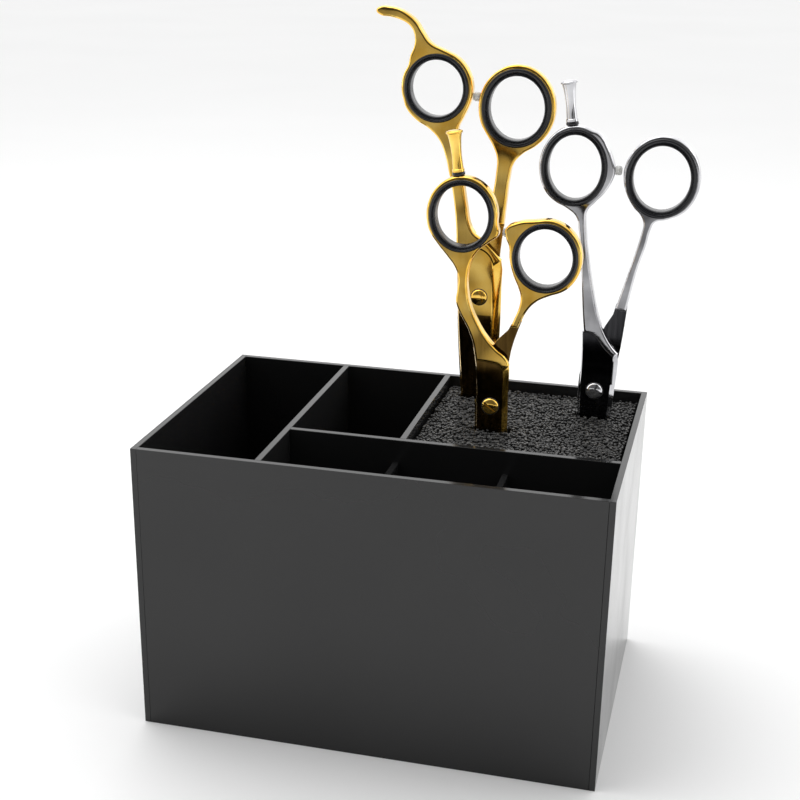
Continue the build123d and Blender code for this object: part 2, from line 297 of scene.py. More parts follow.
def acrylicSheet():
    # painted reflection: rise makes it greyer towards the top, standing in for the brighter reflection the
    # panel's upper part catches; the cloud noise adds random tone
    look = {
        "dark": (0.0035, 0.0036, 0.0038), "light": (0.017, 0.0172, 0.0175), "rise": 5,
        "gloss": (0.09, 0.17),
    }
    material, nodes, links, shader, place = newMaterial("acrylicSheet")
    cloud = addNoise(nodes, links, place, 9, 4)
    height = nodes.new("ShaderNodeSeparateXYZ")
    links.new(place, height.inputs["Vector"])
    rise = nodes.new("ShaderNodeMath")
    rise.operation = "MULTIPLY_ADD"
    rise.inputs[1].default_value = look["rise"]
    links.new(height.outputs["Z"], rise.inputs[0])
    links.new(cloud, rise.inputs[2])
    shades = [(0.4, look["dark"]), (1, look["light"])]
    links.new(addRamp(nodes, links, rise.outputs["Value"], shades), shader.inputs["Base Color"])
    smudge = addNoise(nodes, links, place, 42, 6, (1, 1, 0.6))
    links.new(addRange(nodes, links, smudge, *look["gloss"]), shader.inputs["Roughness"])
    scratch = addNoise(nodes, links, place, 1500, 2, (0.04, 0.04, 1))
    addBump(nodes, links, shader, scratch, 0.05, 0.00002)
    shader.inputs["IOR"].default_value = 1.49
    return material


def polishedMetal(name, look):
    # painted reflection: the blades' flats, and more faintly the handles', carry a face attribute that
    # darkens their colour; it is a painted dark reflection, standing in for the dark surroundings that
    # mirror-finished flats reflect
    material, nodes, links, shader, place = newMaterial(name)
    shader.inputs["Metallic"].default_value = 1
    tint = addNoise(nodes, links, place, 130, 3)
    body = addRamp(nodes, links, tint, [(0.35, look["deep"]), (0.65, look["bright"])])
    paintedReflectionMark = nodes.new("ShaderNodeAttribute")
    paintedReflectionMark.attribute_name = "flatPaintedReflection"
    grain = addNoise(nodes, links, place, 900, 2, (1, 1, 0.08))
    paintedReflectionColor = addRamp(nodes, links, grain, [(0.3, look["paintedReflectionDeep"]), (0.7, look["paintedReflectionBright"])])
    mix = nodes.new("ShaderNodeMix")
    mix.data_type = "RGBA"
    # painted reflection: low-frequency noise makes brighter and darker stretches of the painted dark
    # reflection on the flats
    wave = addNoise(nodes, links, place, 75, 1)
    paintedReflectionStretches = addRange(nodes, links, wave, *look["polishAndPaintedReflection"])
    shade = nodes.new("ShaderNodeMath")
    shade.operation = "POWER"
    links.new(paintedReflectionMark.outputs["Fac"], shade.inputs[0])
    links.new(paintedReflectionStretches, shade.inputs[1])
    links.new(shade.outputs["Value"], mix.inputs["Factor"])
    links.new(body, mix.inputs["A"])
    links.new(paintedReflectionColor, mix.inputs["B"])
    links.new(mix.outputs["Result"], shader.inputs["Base Color"])
    haze = addNoise(nodes, links, place, 260, 4)
    links.new(addRange(nodes, links, haze, *look["gloss"]), shader.inputs["Roughness"])
    polishAndPaintedReflection = addNoise(nodes, links, place, 2600, 2, (0.15, 0.15, 1))
    addBump(nodes, links, shader, polishAndPaintedReflection, 0.06, 0.00001)
    return material


def softRubber(name, look):
    material, nodes, links, shader, place = newMaterial(name)
    bloom = addNoise(nodes, links, place, 220, 4)
    shades = [(0.3, look["dark"]), (0.75, look["light"])]
    links.new(addRamp(nodes, links, bloom, shades), shader.inputs["Base Color"])
    links.new(addRange(nodes, links, bloom, *look["gloss"]), shader.inputs["Roughness"])
    skin = addNoise(nodes, links, place, 4200, 3)
    addBump(nodes, links, shader, skin, 0.1, 0.00002)
    return material


def bristleNylon():
    # cells about as wide as a rod and drawn out along it, so neighbouring rods differ in grey
    look = {
        "shades": [(0.2, (0.012, 0.012, 0.012)), (0.55, (0.036, 0.036, 0.036)),
                   (0.85, (0.12, 0.118, 0.114))],
        "cells": 800, "stretch": 0.002, "gloss": (0.32, 0.6),
    }
    material, nodes, links, shader, place = newMaterial("bristleNylon")
    mapping = nodes.new("ShaderNodeMapping")
    mapping.inputs["Scale"].default_value = (1, 1, look["stretch"])
    cells = nodes.new("ShaderNodeTexVoronoi")
    cells.inputs["Scale"].default_value = look["cells"]
    links.new(place, mapping.inputs["Vector"])
    links.new(mapping.outputs["Vector"], cells.inputs["Vector"])
    links.new(addRamp(nodes, links, cells.outputs["Color"], look["shades"]), shader.inputs["Base Color"])
    frost = addNoise(nodes, links, place, 1800, 3)
    links.new(addRange(nodes, links, frost, *look["gloss"]), shader.inputs["Roughness"])
    addBump(nodes, links, shader, frost, 0.3, 0.00006)
    return material


def clearBumper():
    look = {"milk": [(0.3, (0.62, 0.62, 0.6)), (0.7, (0.82, 0.82, 0.8))], "gloss": (0.18, 0.3), "clear": 0.35}
    material, nodes, links, shader, place = newMaterial("clearBumper")
    cloud = addNoise(nodes, links, place, 700, 3)
    links.new(addRamp(nodes, links, cloud, look["milk"]), shader.inputs["Base Color"])
    links.new(addRange(nodes, links, cloud, *look["gloss"]), shader.inputs["Roughness"])
    shader.inputs["Transmission Weight"].default_value = look["clear"]
    shader.inputs["IOR"].default_value = 1.42
    return material


# per metal: its own colour from deep to bright, the two colours of the painted dark reflection on its flats,
# its gloss, and the range that makes the painted reflection's brighter and darker stretches
goldLook = {
    "deep": (0.84, 0.49, 0.07), "bright": (1, 0.68, 0.17),
    "paintedReflectionDeep": (0.04, 0.022, 0.006), "paintedReflectionBright": (0.085, 0.05, 0.013),
    "gloss": (0.08, 0.15), "polishAndPaintedReflection": (0.35, 2.4),
}
steelLook = {
    "deep": (0.5, 0.5, 0.52), "bright": (0.74, 0.74, 0.76),
    "paintedReflectionDeep": (0.018, 0.018, 0.02), "paintedReflectionBright": (0.04, 0.04, 0.043),
    "gloss": (0.06, 0.12), "polishAndPaintedReflection": (0.3, 2.2),
}
rubberLook = {"dark": (0.005, 0.0055, 0.008), "light": (0.011, 0.012, 0.016), "gloss": (0.2, 0.32)}
plasticLook = {"dark": (0.014, 0.014, 0.014), "light": (0.03, 0.03, 0.03), "gloss": (0.4, 0.6)}
washerLook = {"dark": (0.05, 0.05, 0.05), "light": (0.1, 0.1, 0.1), "gloss": (0.3, 0.5)}
acrylic = acrylicSheet()
goldPlate = polishedMetal("goldPlate", goldLook)
chromeSteel = polishedMetal("chromeSteel", steelLook)
ringRubber = softRubber("ringRubber", rubberLook)
insertPlastic = softRubber("insertPlastic", plasticLook)
nylonWasher = softRubber("nylonWasher", washerLook)
nylon = bristleNylon()
bumperSilicone = clearBumper()
print("materials ready")


def paint(piece, material):
    piece.data.materials.clear()
    piece.data.materials.append(material)


for nodeName, node in frame["nodes"].items():
    if nodeName.endswith("_panel") or nodeName.endswith("_divider") or nodeName.startswith("short_divider"):
        paint(node, acrylic)
paint(frame["nodes"]["bristle_base"], insertPlastic)


# Outlines are in millimetres from the pair's own pivot. A half's outline runs clockwise: up its outer
# edge, round the ring, down its inner edge, and back under the flat of the blade. Corner points are
# the ones that aren't smoothed. The handle's flats get a weaker painted dark reflection, and so do
# the blade's flats above a given height; the blade's flats below it get the full painted dark reflection.
goldBack = {
    "pair": "gold_back", "metal": goldPlate, "slot": "gold_plate", "handlePaintedReflection": 0.72,
    "fingerRing": {"x": -16.75, "y": 70.1, "rx": 8.9, "ry": 9.15, "lip": 2.1, "rim": 1.15},
    "thumbRing": {"x": 10.35, "y": 64.8, "rx": 9.25, "ry": 10.35, "lip": 2.45, "rim": 1.15},
    "fingerUp": [(-8.6, 17.2), (-8.9, 24), (-10.3, 35.2), (-11.9, 42.3), (-13.2, 47.6), (-15.6, 53.2),
                 (-19.4, 56.9), (-23.6, 59.4), (-27.3, 63.4)],
    "fingerArc": (202, 145),
    "fingerTop": [(-26.1, 80.1), (-24.7, 83.9), (-24.9, 87.4), (-26.5, 89.9), (-29.4, 91.5),
                  (-33, 92.4), (-36.4, 92.9), (-37.8, 94.3), (-36.4, 95.6), (-33.2, 95.7),
                  (-30.2, 95.1), (-26.9, 93.5), (-24.1, 91.3), (-21.8, 88), (-19.2, 84.7), (-15.2, 82.8)],
    "fingerArcTwo": (72, -18),
    "fingerDown": [(-7.4, 61), (-9.1, 57.4), (-9.2, 52), (-8.2, 45.5), (-6.7, 38.4), (-5.3, 31),
                   (-4.1, 25.2), (-2.6, 22.4), (0.4, 20.2), (4, 17), (7.3, 13.4), (4.6, 11.2),
                   (2.6, 14.8), (-1, 16.8)],
    "fingerCorners": [0, -3, -4],
    "thumbUp": [(2.8, 25), (3.2, 34), (4.2, 43), (4.3, 48.2), (2.8, 52.2), (0.3, 56.2)],
    "thumbArc": (205, -38),
    "thumbDown": [(17.3, 52.9), (12.8, 49.9), (9.9, 46.3), (8.9, 41.6), (8.2, 34), (7.5, 25)],
    "frontBlade": {
        "left": [(-9, 24), (-8.4, 12), (-7.4, -8), (-6.4, -22), (-4.8, -38), (-2.4, -54), (0.3, -66)],
        "right": [(0.4, 20), (4, 16.9), (7.2, 13), (7.5, 4), (7.6, -12), (6.9, -28), (5.4, -44),
                  (3.4, -57), (1.3, -66)],
        "back": 3.2},
    "rearBlade": {
        "left": [(2.9, 27.4), (1.6, 22.5), (-3, 17), (-7.6, 9), (-7.9, -2), (-7.2, -18), (-5.4, -38),
                 (-2.8, -54), (-0.2, -65.6)],
        "right": [(7.6, 27.4), (7.1, 22), (6.4, 14), (6.2, 0), (5.9, -20), (4.8, -38), (2.6, -54),
                  (0.9, -65.6)],
        "back": 2.6},
    "rounding": 0.9, "fullPaintedReflectionBelow": -5, "slotTurn": 0,
}
goldFront = {
    "pair": "gold_front", "metal": goldPlate, "slot": "gold_plate", "handlePaintedReflection": 0.72,
    "fingerRing": {"x": -11.6, "y": 62.9, "rx": 8.6, "ry": 9.7, "lip": 2.0, "rim": 1.0},
    "thumbRing": {"x": 15.8, "y": 51.2, "rx": 8.65, "ry": 9.3, "lip": 1.95, "rim": 1.1},
    "fingerUp": [(-5.5, 15.3), (-6.6, 21.2), (-8.5, 26.1), (-11.2, 30.9), (-12.7, 34.9),
                 (-12.4, 38.6), (-12.2, 42.8), (-13.4, 46.2), (-16, 49.6), (-19.2, 53.3)],
    "fingerArc": (205, -8),
    "fingerTop": [], "fingerArcTwo": None,
    "fingerDown": [(0.4, 57.6), (-2.6, 54.9), (-5.9, 52), (-8.2, 48), (-9.1, 43.1), (-8.9, 38.2),
                   (-7.7, 33.3), (-5.5, 28.5), (-2.5, 23.8), (1.2, 19.8), (4.4, 17.2), (5.7, 14.4),
                   (3.7, 11.8), (1.9, 14.1), (-1.5, 14.9)],
    "fingerCorners": [0, -3, -4],
    "thumbUp": [(5.1, 26.4), (6.6, 30.3), (8.1, 34.6), (8.4, 38.2), (7.5, 41.1), (5.7, 45.1),
                (4.3, 50), (4, 54), (2.9, 56.8), (2.6, 59.6), (6.2, 62)],
    "thumbArc": (105, -58),
    "thumbDown": [(17.2, 38.7), (13.6, 36.7), (11, 33.8), (9.1, 30.1), (7.6, 26.4)],
    "frontBlade": {
        "left": [(-6.9, 22), (-5.3, 12), (-4.7, -7.3), (-4, -25), (-2.8, -42), (-0.9, -56), (0.4, -62)],
        "right": [(1.2, 19.6), (4.2, 17.2), (5.6, 13.8), (5.6, 5.6), (5.8, -8), (5.3, -25),
                  (4.1, -42), (2.4, -55), (1.3, -62)],
        "back": 1.7},
    "rearBlade": {
        "left": [(6.3, 29.5), (4.4, 25.8), (0.4, 21.5), (-3.6, 13), (-5.4, 4), (-5.2, -10),
                 (-4.3, -28), (-2.9, -44), (-0.3, -61.6)],
        "right": [(9, 29.5), (6.8, 23), (5.4, 16), (5, 6), (4.9, -8), (4.3, -28), (2.9, -46),
                  (0.8, -61.6)],
        "back": 1.8},
    "rounding": 0.93, "fullPaintedReflectionBelow": 99, "slotTurn": -33,
    "restAngle": 98,
}
silver = {
    "pair": "silver", "metal": chromeSteel, "slot": "chrome_steel", "handlePaintedReflection": 0.68,
    "fingerRing": {"x": -11.2, "y": 75.3, "rx": 8.65, "ry": 10.45, "lip": 2.1, "rim": 0.9},
    "thumbRing": {"x": 16.9, "y": 73.3, "rx": 9.15, "ry": 10.45, "lip": 2.3, "rim": 0.85},
    "fingerUp": [(-4.9, 20.2), (-5.5, 25), (-6.4, 34.3), (-7.5, 46.7), (-8.7, 54.8), (-9.8, 59.2),
                 (-12.9, 61.8), (-17.1, 63.9)],
    "fingerArc": (222, 66),
    "fingerTop": [(-3.7, 86.5), (-0.7, 82.2), (1.3, 77.6), (2, 75), (1.4, 71.9)],
    "fingerArcTwo": None,
    "fingerDown": [(-0.9, 67.7), (-3.9, 64.3), (-6.2, 61.3), (-6.4, 57.8), (-6.1, 54.2), (-4.7, 45.2),
                   (-2.9, 36.3), (-0.7, 27.2), (1.8, 20.9), (4.6, 16.4), (7.1, 13.7), (5.7, 11.8),
                   (2.2, 14.9), (-0.9, 18.7), (-2.9, 20)],
    "fingerCorners": [0, -4, -5],
    "thumbUp": [(4.6, 27.6), (6.9, 36.2), (9.4, 45.5), (11.6, 54.6), (12.1, 58.4), (11.1, 60.9),
                (8.4, 63.7), (5.6, 68.7), (4.7, 73.4), (4.9, 76.4), (6.1, 79.9), (9.4, 84)],
    "thumbArc": (104, -52),
    "thumbDown": [(19.6, 60.2), (15.8, 59), (14.8, 57), (13.6, 51.4), (11.2, 42.3), (9.5, 33.1),
                  (8.4, 27.6)],
    "frontBlade": {
        "left": [(-5.6, 25), (-5.3, 14), (-5.2, 0), (-4.9, -14), (-4.2, -30), (-2.9, -46),
                 (-0.9, -60), (0.4, -66)],
        "right": [(1.8, 20.6), (4.6, 16.2), (7, 13.4), (6.6, 0), (5.8, -12), (5, -28), (4, -44),
                  (2.4, -58), (1.3, -66)],
        "back": 1.5},
    "rearBlade": {
        "left": [(5.2, 30.6), (4.4, 27), (2.6, 24), (1.6, 21.5), (-3, 14), (-5.6, 5), (-5.5, -10),
                 (-4.8, -28), (-3.4, -46), (-0.3, -65.6)],
        "right": [(9, 30.6), (8.3, 22), (7.6, 15), (6, 4), (5, -10), (4.2, -30), (2.6, -50),
                  (0.8, -65.6)],
        "back": 1.6},
    "rounding": 0.9, "fullPaintedReflectionBelow": 99, "slotTurn": 68,
    "restAngle": 98,
}
blade = {
    "gap": 0.05, "thick": 1.7, "tipThick": 0.8, "taperFrom": -6, "stations": 26,
    # the ground cutting edge, and the facet along the back with its small inner bevel
    "edgeBevel": 0.45, "edgeDrop": 0.8, "backDepth": 0.95, "innerBevel": 0.12, "innerInset": 0.985,
}
# the step milled into a handle for the other blade: how far below the blade's top it ends, its play,
# and the rounded end that the rear half has
lapStep = {
    "below": 2, "play": 0.04, "depth": 4, "length": 12, "rise": 1.2, "sides": (0.4, 0.6), "rounding": 1.9,
}
pivotBore = 1.95
ringGrip = 1.3        # how far the metal ring reaches in under the insert's lip
metalHalf = 2.2       # half of the handles' thickness


def addBlock(xs, ys, zs):
    # a plain cutting block between three pairs of planes
    size = [abs(high - low) for low, high in (xs, ys, zs)]
    middle = [(low + high) / 2 for low, high in (xs, ys, zs)]
    clearTable()
    bpy.ops.mesh.primitive_cube_add(size=1, location=middle, scale=size)
    bpy.ops.object.transform_apply(location=True, scale=True)
    return bpy.context.object


def edgeAt(line, y):
    # where a blade's edge is at height y: a smooth curve through its drawn points, which run downwards
    for i in range(len(line) - 1):
        (x0, y0), (x1, y1) = line[i], line[i + 1]
        if y >= y1 or i == len(line) - 2:
            xa, ya = line[max(i - 1, 0)]
            xb, yb = line[min(i + 2, len(line) - 1)]
            slope0, slope1 = (x1 - xa) / (y1 - ya), (xb - x0) / (yb - y0)
            t, run = (y - y0) / (y1 - y0), y1 - y0
            return ((2 * t ** 3 - 3 * t ** 2 + 1) * x0 + (t ** 3 - 2 * t ** 2 + t) * run * slope0
                    + (3 * t ** 2 - 2 * t ** 3) * x1 + (t ** 3 - t ** 2) * run * slope1)


def bladePlate(pair, kind, side):
    # a section with its cutting bevel and back facet, extruded down to the tip. Side is 1 for the front
    # blade and -1 for the rear one, whose section is turned over and has its cutting edge on the right.
    left, right = pair[kind]["left"], pair[kind]["right"]
    top, tip = min(left[0][1], right[0][1]), left[-1][1]
    steps = blade["stations"]
    heights = [top + (tip - top) * i / steps for i in range(steps + 1)]
    thick = blade["thick"]
    width = edgeAt(right, 0) - edgeAt(left, 0)
    bevel, facet = blade["edgeBevel"] / width, pair[kind]["back"] / width
    section = [(0, 0), (0, thick - blade["edgeDrop"]), (bevel, thick), (1 - facet, thick),
               (1, thick - blade["backDepth"]), (1, blade["innerBevel"]), (blade["innerInset"], 0)]
    if side < 0:
        section = [(1 - across, -up) for across, up in section]
    clearTable()
    bpy.ops.mesh.primitive_circle_add(vertices=len(section), radius=1, fill_type="NGON", location=(0, 0, 0))
    plate = bpy.context.object
    plate.name = kind
    wide = edgeAt(right, top) - edgeAt(left, top)
    for corner, (across, up) in zip(plate.data.vertices, section):
        corner.co = (edgeAt(left, top) + across * wide, top, up)
    editMode()
    pickAll()
    for high, low in zip(heights, heights[1:]):
        oldLeft, newLeft = edgeAt(left, high), edgeAt(left, low)
        growth = (edgeAt(right, low) - newLeft) / (edgeAt(right, high) - oldLeft)
        thinning = bladeThickness(low, tip) / bladeThickness(high, tip)
        bpy.ops.mesh.extrude_region_move(TRANSFORM_OT_translate={"value": (0, low - high, 0)})
        bpy.ops.transform.resize(value=(growth, 1, thinning), center_override=(oldLeft, low, 0))
        bpy.ops.transform.translate(value=(newLeft - oldLeft, 0, 0))
    pickAll()
    bpy.ops.mesh.normals_make_consistent(inside=False)
    objectMode()
    plate.data.transform(Matrix.Translation((0, 0, side * blade["gap"])))
    return plate


def bladeThickness(y, tip):
    # full thickness down to a little under the pivot, then thinner towards the tip
    run = min(max((blade["taperFrom"] - y) / (blade["taperFrom"] - tip), 0), 1)
    return 1 + (blade["tipThick"] / blade["thick"] - 1) * run


def markPaintedReflection(piece, pair, topY):
    # painted reflection: 1 on the milled flats of a blade, less on the flats of the handle, 0 on every
    # rounded edge; the value is how strongly a face is painted with a dark reflection
    mark = piece.data.attributes.new("flatPaintedReflection", "FLOAT", "FACE")
    for face in piece.data.polygons:
        shade = 0
        if abs(face.normal.z) > 0.985:
            onHandle = abs(face.center.z) > metalHalf - 0.03 or face.center.y > topY
            shade = pair["handlePaintedReflection"] if onHandle or face.center.y > pair["fullPaintedReflectionBelow"] else 1
        mark.data[face.index].value = shade


def lapCutter(pair, lap, front):
    # the block that mills a handle down to its blade's side of the pair, up to the height lap
    inner = blade["gap"] + lapStep["play"]
    if front:
        return addBlock((-40, 40), (-80, lap), (-lapStep["depth"], inner))
    # the rear half's step has a rounded top
    before, after = lapStep["sides"]
    across = (pair["thumbUp"][0][0] - before, pair["thumbDown"][-1][0] + after)
    cutter = addBlock(across, (lap - lapStep["length"], lap + lapStep["rise"]), (-inner, lapStep["depth"]))
    editMode()
    pickNone()
    objectMode()
    for edge in cutter.data.edges:
        ends = [cutter.data.vertices[i].co for i in edge.vertices]
        edge.select = min(ends[0].y, ends[1].y) > lap and abs(ends[0].z - ends[1].z) > 1
    editMode()
    bpy.ops.mesh.bevel(offset=lapStep["rounding"], segments=8, affect="EDGES")
    objectMode()
    return cutter


def makeHalf(pair, which):
    front = which == "finger"
    side = 1 if front else -1
    ring = pair[which + "Ring"]
    points = list(pair[which + "Up"])
    points += ringArc(ring, *pair[which + "Arc"])
    if front:
        points += pair["fingerTop"]
        if pair["fingerArcTwo"]:
            points += ringArc(ring, *pair["fingerArcTwo"])
    points += pair[which + "Down"]
    corners = [i % len(points) for i in pair["fingerCorners"]] if front else [0, len(points) - 1]
    grip = ring["lip"] - ringGrip
    hole = (ring["x"], ring["y"], ring["rx"] + grip, ring["ry"] + grip)
    name = pair["pair"] + ("FingerHalf" if front else "ThumbHalf")
    handle = drawnPlate(name, points, corners, [hole], metalHalf, pair["rounding"])
    kind = "frontBlade" if front else "rearBlade"
    bladeTop = pair[kind]["left"][0][1]
    handle = combine(handle, lapCutter(pair, bladeTop - lapStep["below"], front), "DIFFERENCE")
    half = combine(handle, bladePlate(pair, kind, side), "UNION")
    clearTable()
    bpy.ops.mesh.primitive_cylinder_add(vertices=48, radius=pivotBore, depth=9, location=(0, 0, 0))
    half = combine(half, bpy.context.object, "DIFFERENCE")
    tidyMesh(half)
    markPaintedReflection(half, pair, bladeTop)
    smooth(half)
    evenNormals(half)
    standUp(half, pair["pair"])
    paint(half, pair["metal"])
    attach(half, f"{pair['pair']}_{which}")
    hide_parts(f"{pair['pair']}_{which}_half")


def makeInsert(pair, which):
    # a grommet: rolled inner lip, a groove, and a wider outer lip over the metal
    ring = pair[which + "Ring"]
    wide = ring["lip"]
    upper = [(0.02, 1.2), (0.06, 2.05), (0.2, 2.48), (0.45, 2.6), (0.68, 2.48), (0.8, 2.22), (0.92, 2.2),
             (1.02, 2.45), (1.25, 2.74), (wide - 0.55, 2.8), (wide - 0.2, 2.7), (wide, 2.42),
             (wide - 0.04, 2.22), (wide - 1.35, 2.2)]
    lower = [(out, -up) for out, up in reversed(upper)]
    name = pair["pair"] + which.capitalize() + "Insert"
    insert = turned(name, upper + lower, 96, ring["rx"], ring["ry"], closed=True)
    insert.data.transform(Matrix.Translation((ring["x"], ring["y"], 0)))
    smooth(insert, 50)
    standUp(insert, pair["pair"])
    paint(insert, ringRubber)
    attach(insert, f"{pair['pair']}_{which}")
    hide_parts(f"{pair['pair']}_{which}_insert")


def makeBumper(pair):
    # a soft stud with a waist by the ring it's pressed into; reach makes it longer than the CAD one
    size = {"radius": 1.5, "waist": 1.15, "reach": 0.5}
    low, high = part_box(pair["pair"] + "_bumper")
    length = (high.x - low.x) / mm + size["reach"]
    waist, radius = size["waist"], size["radius"]
    profile = [(0.5, 0), (waist, 0.05), (waist, 0.45), (radius - 0.1, 0.6), (radius, 0.8),
               (radius, length - 0.55), (radius - 0.2, length - 0.2), (0.8, length)]
    bumper = turned(pair["pair"] + "Bumper", profile, 40)
    smooth(bumper, 40)
    middle = (low + high) / 2
    turn = Matrix.Rotation(radians(90), 4, "Y")
    bumper.data.transform(Matrix.Translation((low.x, middle.y, middle.z)) @ turn @ Matrix.Scale(mm, 4))
    paint(bumper, bumperSilicone)
    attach(bumper, pair["pair"] + "_finger")
    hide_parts(pair["pair"] + "_bumper")


def makeRest(pair):
    # a waisted peg with a flared, domed cap, and the rubber washer under it
    size = {"length": 13.2, "washer": 1.1, "foot": 1.95, "waist": 1.55, "neck": 2.3, "cap": 2.7}
    seat = size["washer"]
    top = seat + size["length"]
    foot, waist, neck, cap = size["foot"], size["waist"], size["neck"], size["cap"]
    profile = [(0.75, -1.2), (0.78, seat), (foot - 0.15, seat), (foot, seat + 0.15), (foot, seat + 0.85),
               (foot - 0.2, seat + 1.05), (waist + 0.12, seat + 2.6), (waist, seat + 5),
               (waist + 0.16, seat + 8), (neck - 0.3, seat + 10.6), (neck, top - 1.15),
               (cap - 0.1, top - 1.05), (cap, top - 0.9), (cap, top - 0.55), (cap - 0.2, top - 0.3),
               (1.7, top - 0.1), (0.6, top)]
    rest = turned(pair["pair"] + "FingerRest", profile, 56)
    smooth(rest, 38)
    outline = [(0.86, 0.1), (0.98, 0.02), (1.85, 0.02), (2.05, 0.2), (2.05, seat - 0.2), (1.85, seat - 0.02),
               (0.98, seat - 0.02), (0.86, seat - 0.1)]
    washer = turned(pair["pair"] + "RestWasher", outline, 48, closed=True)
    smooth(washer, 50)
    angle = radians(pair["restAngle"])
    foothold = Vector((*onRing(pair["fingerRing"], angle), 0))
    outward = Vector((cos(angle), sin(angle), 0)).to_track_quat("Z", "Y").to_matrix().to_4x4()
    for piece, material, node, slot in ((rest, pair["metal"], "_finger_rest", pair["slot"]),
                                        (washer, ringRubber, "_rest_washer", "rubber")):
        piece.data.transform(Matrix.Translation(foothold) @ outward)
        standUp(piece, pair["pair"])
        paint(piece, material)
        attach(piece, pair["pair"] + "_finger")
        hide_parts(pair["pair"] + node)


def makePivot(pair):
    # domed and slotted screw, thin washer, and the tension nut behind
    size = {
        "head": 2.8, "headHeight": 1.1, "washer": 0.25, "shank": 1.9, "nut": 2.9, "nutThick": 1.2,
        "slot": 0.7, "slotDepth": 0.6, "nutSlot": 0.8, "nutSlotDepth": 0.45,
    }
    thick = blade["thick"]
    seat = thick + size["washer"]
    nutBack = -thick - size["nutThick"]
    back = nutBack - 0.2
    head, shank, nutEdge = size["head"], size["shank"], size["nut"]
    profile = [(1.2, back), (shank - 0.2, back), (shank, back + 0.2), (shank, seat), (head - 0.05, seat),
               (head, seat + 0.12), (head - 0.12, seat + 0.4), (head - 0.55, seat + 0.75),
               (head - 1.25, seat + 0.98), (0.8, seat + size["headHeight"])]
    screw = turned(pair["pair"] + "PivotScrew", profile, 56)
    domeTop = seat + size["headHeight"]
    halfSlot = size["slot"] / 2
    slot = addBlock((-4, 4), (-halfSlot, halfSlot), (domeTop - size["slotDepth"], domeTop + 1))
    slot.data.transform(Matrix.Rotation(radians(pair["slotTurn"]), 4, "Z"))
    screw = combine(screw, slot, "DIFFERENCE")
    smooth(screw, 30)
    outline = [(1.97, thick + 0.01), (2.95, thick + 0.01), (3, thick + 0.06), (3, seat - 0.06),
               (2.95, seat - 0.01), (1.97, seat - 0.01)]
    washer = turned(pair["pair"] + "PivotWasher", outline, 56, closed=True)
    smooth(washer, 40)
    outline = [(1.96, nutBack + 0.1), (2.1, nutBack), (nutEdge - 0.2, nutBack), (nutEdge, nutBack + 0.2),
               (nutEdge, -thick - 0.08), (nutEdge - 0.08, -thick - 0.01), (1.96, -thick - 0.01)]
    nut = turned(pair["pair"] + "PivotNut", outline, 56, closed=True)
    halfNotch = size["nutSlot"] / 2
    notch = addBlock((-4, 4), (-halfNotch, halfNotch), (nutBack - 1, nutBack + size["nutSlotDepth"]))
    nut = combine(nut, notch, "DIFFERENCE")
    smooth(nut, 30)
    owner = pair["pair"] + ("_finger" if pair["pair"] == "silver" else "_thumb")
    for piece, material, node, slot in ((screw, pair["metal"], "_pivot_screw", pair["slot"]),
                                        (washer, nylonWasher, "_pivot_washer", "nylon"),
                                        (nut, pair["metal"], "_pivot_nut", pair["slot"])):
        standUp(piece, pair["pair"])
        paint(piece, material)
        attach(piece, owner)
        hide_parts(pair["pair"] + node)


for pair in (goldBack, goldFront, silver):
    makeHalf(pair, "finger")
    makeHalf(pair, "thumb")
    makeInsert(pair, "finger")
    makeInsert(pair, "thumb")
    makeBumper(pair)
    makePivot(pair)
    if "restAngle" in pair:
        makeRest(pair)
    print("shears", pair["pair"], "done")


bristles = {
    "pitch": 1.03, "radius": 0.49, "sides": 6, "margin": 0.14, "seed": 11,
    # how far rods stray from the grid, stand lower than the tallest, and lean over their length
    "stray": 0.12, "heightSpread": 1.0, "lean": 0.35,
    # rim of the cut end, as parts of the radius
    "rimIn": 0.3, "rimUp": 0.3,
    # room left beside a pair of blades and in front of and behind it
    "bladeSide": 0.6, "bladeFace": 0.3,
}


def bladeBoxes():
    # where each closed pair of blades enters the bristles: middle, half width, half thickness, in mm
    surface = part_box("bristle_bundle")[1].z
    boxes = []
    for pair in (goldBack, goldFront, silver):
        place = pivotPlace[pair["pair"]]
        depth = (surface - place.z) / mm
        edges = []
        for side in ("left", "right"):
            line = pair["frontBlade"][side] + pair["rearBlade"][side]
            edges.append(min(line, key=lambda point: abs(point[1] - depth))[0])
        middle = place.x / mm + (edges[0] + edges[1]) / 2
        halfWide = (edges[1] - edges[0]) / 2 + bristles["bladeSide"]
        boxes.append((middle, place.y / mm, halfWide, blade["thick"] + bristles["bladeFace"]))
    return boxes


def makeRod(height):
    # one nylon rod, with no face at its hidden foot and its cut end drawn in to a small rim
    radius = bristles["radius"]
    clearTable()
    bpy.ops.mesh.primitive_cylinder_add(vertices=bristles["sides"], radius=radius, depth=height,
                                        location=(0, 0, height / 2))
    rod = bpy.context.object
    bpy.ops.object.transform_apply(location=True)
    editMode()
    pickNone()
    objectMode()
    for face in rod.data.polygons:
        face.select = face.normal.z < -0.9
    editMode()
    bpy.ops.mesh.delete(type="ONLY_FACE")
    objectMode()
    for face in rod.data.polygons:
        face.select = face.normal.z > 0.9
    editMode()
    bpy.ops.mesh.inset(thickness=radius * bristles["rimIn"])
    bpy.ops.transform.translate(value=(0, 0, radius * bristles["rimUp"]))
    objectMode()
    return rod


def plantRod(rod, spot, top, drop, twist, foot, height):
    # a copy of the rod that leans from its spot at the foot to its top, and stops short by drop
    copy = rod.copy()
    copy.data = rod.data.copy()
    bpy.context.scene.collection.objects.link(copy)
    leanMatrix = Matrix.Identity(4)
    leanMatrix[0][2] = (top[0] - spot[0]) / height
    leanMatrix[1][2] = (top[1] - spot[1]) / height
    rimRise = bristles["radius"] * bristles["rimUp"]
    stretch = Matrix.Scale((height - drop) / (height + rimRise), 4, (0, 0, 1))
    place = Matrix.Translation((*spot, foot)) @ leanMatrix @ stretch @ Matrix.Rotation(twist, 4, "Z")
    copy.data.transform(place)
    return copy


